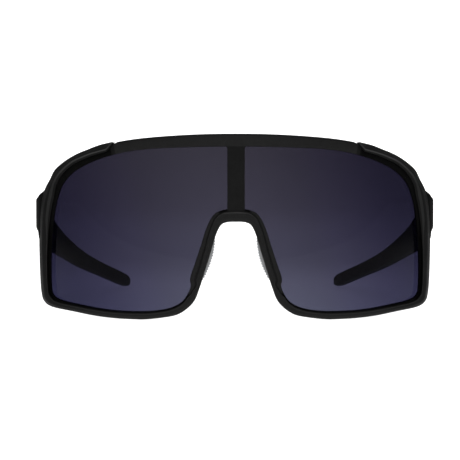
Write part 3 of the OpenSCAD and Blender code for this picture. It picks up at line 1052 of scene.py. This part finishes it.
def steel(name, tint, rough):
    """Stamped or turned steel with fine drawn lines along its height."""
    m = Nodes(name)
    stretch = m.add("ShaderNodeMapping", Scale=(1.0, 1.0, 0.06))
    m.link(m.coords, "Object", stretch, "Vector")
    lines = m.add("ShaderNodeTexNoise", Scale=9000.0, Detail=3.0, Roughness=0.6)
    m.link(stretch, "Vector", lines, "Vector")
    m.drive("Base Color", lines, tuple(c * 0.8 for c in tint), tint)
    m.drive("Roughness", lines, rough, rough + 0.12)
    m.grain(lines, 0.25, 0.00002)
    m.set(Metallic=1.0)
    return m.material


def nylon():
    """Natural nylon, a little cloudy."""
    m = Nodes("washer_nylon")
    cloudy = m.noise(900.0, 3.0)
    m.drive("Base Color", cloudy, (0.62, 0.61, 0.56), (0.74, 0.73, 0.68))
    m.drive("Roughness", cloudy, 0.4, 0.5)
    return m.material


# Its ends of 0.28 are painted shade that darkens the sides of the front.
FRAME_BLACK = matte_plastic("frame_matte_black", 0.0120, 0.0155, shine=0.06, ends=0.28)
# Painted highlight: the crest band is glossier and lighter than the face, and dimmer towards the ends.
CREST_GLOSS_PAINTED_HIGHLIGHT = matte_plastic("crest_gloss_painted_highlight", 0.0150, 0.0190, rough=(0.32, 0.40), grain=0.1,
                            shine=0.26, ends=0.5, dull=0.35)
# Painted shade on the bevel's slope inside the crest, which turns away from the light.
SLOPE_PAINTED_SHADE = matte_plastic("slope_painted_shade", 0.0060, 0.0080, rough=(0.5, 0.6), grain=0.3, shine=0.05)
# Painted shade in the sunk ledge, the groove at the arch and the tongue under the jacket.
LEDGE_PAINTED_SHADE = matte_plastic("ledge_painted_shade", 0.0015, 0.0025, rough=(0.5, 0.6), grain=0.3, shine=0.03)
BROW_BLACK = matte_plastic("brow_matte_black", 0.0105, 0.0140)
# Painted shade: the strut is the brow bar's plastic, coloured darker.
STRUT_PAINTED_SHADE = matte_plastic("strut_painted_shade", 0.0055, 0.0075, shine=0.08)
NOSE_BLACK = matte_plastic("nose_matte_black", 0.0090, 0.0120)
# Both are their own black, made lighter as painted light where the arms show behind the lens.
TEMPLE_BLACK = matte_plastic("temple_matte_black", 0.0185, 0.0240)
SOCK_RUBBER = rubber("sock_rubber_black", 0.0215, 0.0280)
PAD_CLEAR = clear_silicone()
LENS_TINT = tinted_lens()
HINGE_STEEL = steel("hinge_steel", (0.42, 0.43, 0.45), 0.28)
SCREW_STEEL = steel("screw_steel", (0.55, 0.56, 0.58), 0.22)
WASHER_NYLON = nylon()
# In the order of the material slots above.
FRAME_LOOKS = [FRAME_BLACK, CREST_GLOSS_PAINTED_HIGHLIGHT, LEDGE_PAINTED_SHADE, SLOPE_PAINTED_SHADE]
BROW_LOOKS = [BROW_BLACK, LEDGE_PAINTED_SHADE, STRUT_PAINTED_SHADE, SLOPE_PAINTED_SHADE]

# ---------------------------------------------------------------- build


def finished(obj, materials, body, node):
    """Gives a piece its materials, its body and the CAD node it stands for."""
    for i, material in enumerate(materials):
        if i < len(obj.data.materials):
            obj.data.materials[i] = material
        else:
            obj.data.materials.append(material)
    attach(obj, body)
    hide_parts(node)


def restyle(nodes, word, material):
    """Gives CAD nodes of one side their material."""
    for node in nodes:
        frame["nodes"][node + "_" + word].data.materials[0] = material


finished(make_front_frame(), FRAME_LOOKS, "front", "front_frame")
finished(make_brow_bar(), BROW_LOOKS, "front", "brow_bar")
finished(make_lens(), [LENS_TINT], "front", "lens")
finished(make_nose_carrier(), [NOSE_BLACK], "front", "nose_carrier")
for side, word in WORD.items():
    finished(make_nose_pad(side), [PAD_CLEAR], "front", "nose_pad_" + word)
    finished(make_temple(side), [TEMPLE_BLACK], word + "_arm", "temple_" + word)
    finished(make_ear_sock(side), [SOCK_RUBBER], word + "_arm", "ear_sock_" + word)
    restyle(("front_leaf", "temple_leaf"), word, HINGE_STEEL)
    restyle(("hinge_screw", "front_leaf_screws", "temple_leaf_screws"), word, SCREW_STEEL)
    restyle(("hinge_washers",), word, WASHER_NYLON)

# ---------------------------------------------------------------- stage, light and camera, in metres

# Brightness of the floor and the world as the camera sees them, and of the world's own light.
PALE = 1.0
AMBIENT = 0.1
# The floor: its front and back edges, the radius of its curve up into the backdrop, the
# backdrop's top and half of the width.
FLOOR_FRONT = -0.45
FLOOR_BACK = 1.0
COVE_R = 0.6
COVE_STEPS = 16
BACKDROP_TOP = 2.4
STAGE_HALF = 2.6
# The floor's own light, in the middle and at its sides, and where it changes.
GLOW = (0.8, 0.03)
GLOW_FADE = (0.36, 0.85)
# The camera: what it aims at in millimetres, its distance, its angles in degrees, its lens.
AIM = (-2.08, 0.0, 31.48)
CAMERA_AWAY = 0.52
CAMERA_TILT = 1.95
CAMERA_TURN = 0.4
FOCAL_LENGTH = 118.8
SENSOR = 36.0
# The lights: name, place, what it aims at, its two sizes and its power in watts.
GLASSES = (0.0, 0.0, 0.03)
LIGHTS = [
    ("top_soft", (0.0, -0.1, 0.95), GLASSES, (1.0, 0.8), 1.6),
    ("front_soft", (0.0, -1.1, 0.40), GLASSES, (1.0, 0.5), 4.0),
    ("left_soft", (0.95, -0.35, 0.45), GLASSES, (0.7, 0.7), 0.2),
    ("right_soft", (-0.95, -0.35, 0.45), GLASSES, (0.7, 0.7), 0.2),
    ("back_fill", (0.0, 0.7, 1.0), (0.0, 1.5, 0.4), (1.6, 0.5), 6.0),
]


def seen_at_least(tree, dim):
    """A brightness that is pale to the camera, from any side, while its own light stays dim."""
    ray = tree.nodes.new("ShaderNodeLightPath")
    pale = tree.nodes.new("ShaderNodeMath")
    pale.operation = "MULTIPLY"
    pale.inputs[1].default_value = PALE
    tree.links.new(ray.outputs["Is Camera Ray"], pale.inputs[0])
    most = tree.nodes.new("ShaderNodeMath")
    most.operation = "MAXIMUM"
    tree.links.new(pale.outputs[0], most.inputs[0])
    tree.links.new(dim, most.inputs[1])
    return most.outputs[0]


def make_stage():
    """A pale floor that curves up into a backdrop, and whose light dims towards both sides."""
    profile = [(FLOOR_FRONT, 0.0), (FLOOR_BACK, 0.0)]
    for k in range(1, COVE_STEPS + 1):
        angle = math.pi / 2 * k / COVE_STEPS
        profile.append((FLOOR_BACK + COVE_R * math.sin(angle), COVE_R - COVE_R * math.cos(angle)))
    profile.append((FLOOR_BACK + COVE_R, BACKDROP_TOP))
    verts = [(x, y, z) for x in (-STAGE_HALF, STAGE_HALF) for y, z in profile]
    n = len(profile)
    faces = [(i, i + 1, n + i + 1, n + i) for i in range(n - 1)]
    obj = mesh_object("floor", verts, faces)
    m = Nodes("floor_pale")
    fade = m.sideways(*GLOW_FADE)
    fade.inputs["To Min"].default_value = GLOW[0]
    fade.inputs["To Max"].default_value = GLOW[1]
    m.tree.links.new(seen_at_least(m.tree, fade.outputs["Result"]), m.shader.inputs["Emission Strength"])
    m.set(Emission_Color=(1.0, 1.0, 1.0, 1.0))
    m.set(Base_Color=(0.8, 0.8, 0.8, 1.0), Roughness=0.9, Specular_IOR_Level=0.1)
    obj.data.materials.append(m.material)


def area_light(name, where, aim, size, power):
    """A soft rectangular light."""
    data = bpy.data.lights.new(name, "AREA")
    data.shape = "RECTANGLE"
    data.size, data.size_y = size
    data.energy = power
    obj = bpy.data.objects.new(name, data)
    obj.location = where
    obj.rotation_euler = (Vector(aim) - Vector(where)).to_track_quat("-Z", "Y").to_euler()
    bpy.context.scene.collection.objects.link(obj)


def make_camera():
    """The camera stands in front of the glasses, a little above, and looks back at them."""
    tilt = math.radians(CAMERA_TILT)
    turn = math.radians(CAMERA_TURN)
    look = Vector((math.sin(turn) * math.cos(tilt), math.cos(turn) * math.cos(tilt), -math.sin(tilt)))
    data = bpy.data.cameras.new("camera")
    data.lens = FOCAL_LENGTH
    data.sensor_width = SENSOR
    data.clip_start = 0.01
    obj = bpy.data.objects.new("camera", data)
    obj.location = place(*AIM) - look * CAMERA_AWAY
    obj.rotation_euler = look.to_track_quat("-Z", "Y").to_euler()
    bpy.context.scene.collection.objects.link(obj)
    bpy.context.scene.camera = obj


def make_world():
    """An even white light from all round, seen as the pale backdrop's continuation."""
    world = bpy.data.worlds.new("studio")
    world.use_nodes = True
    tree = world.node_tree
    background = tree.nodes["Background"]
    background.inputs["Color"].default_value = (1.0, 1.0, 1.0, 1.0)
    dim = tree.nodes.new("ShaderNodeValue")
    dim.outputs[0].default_value = AMBIENT
    tree.links.new(seen_at_least(tree, dim.outputs[0]), background.inputs["Strength"])
    bpy.context.scene.world = world


make_stage()
make_camera()
for light in LIGHTS:
    area_light(*light)
make_world()
bpy.context.scene.view_settings.view_transform = "Standard"
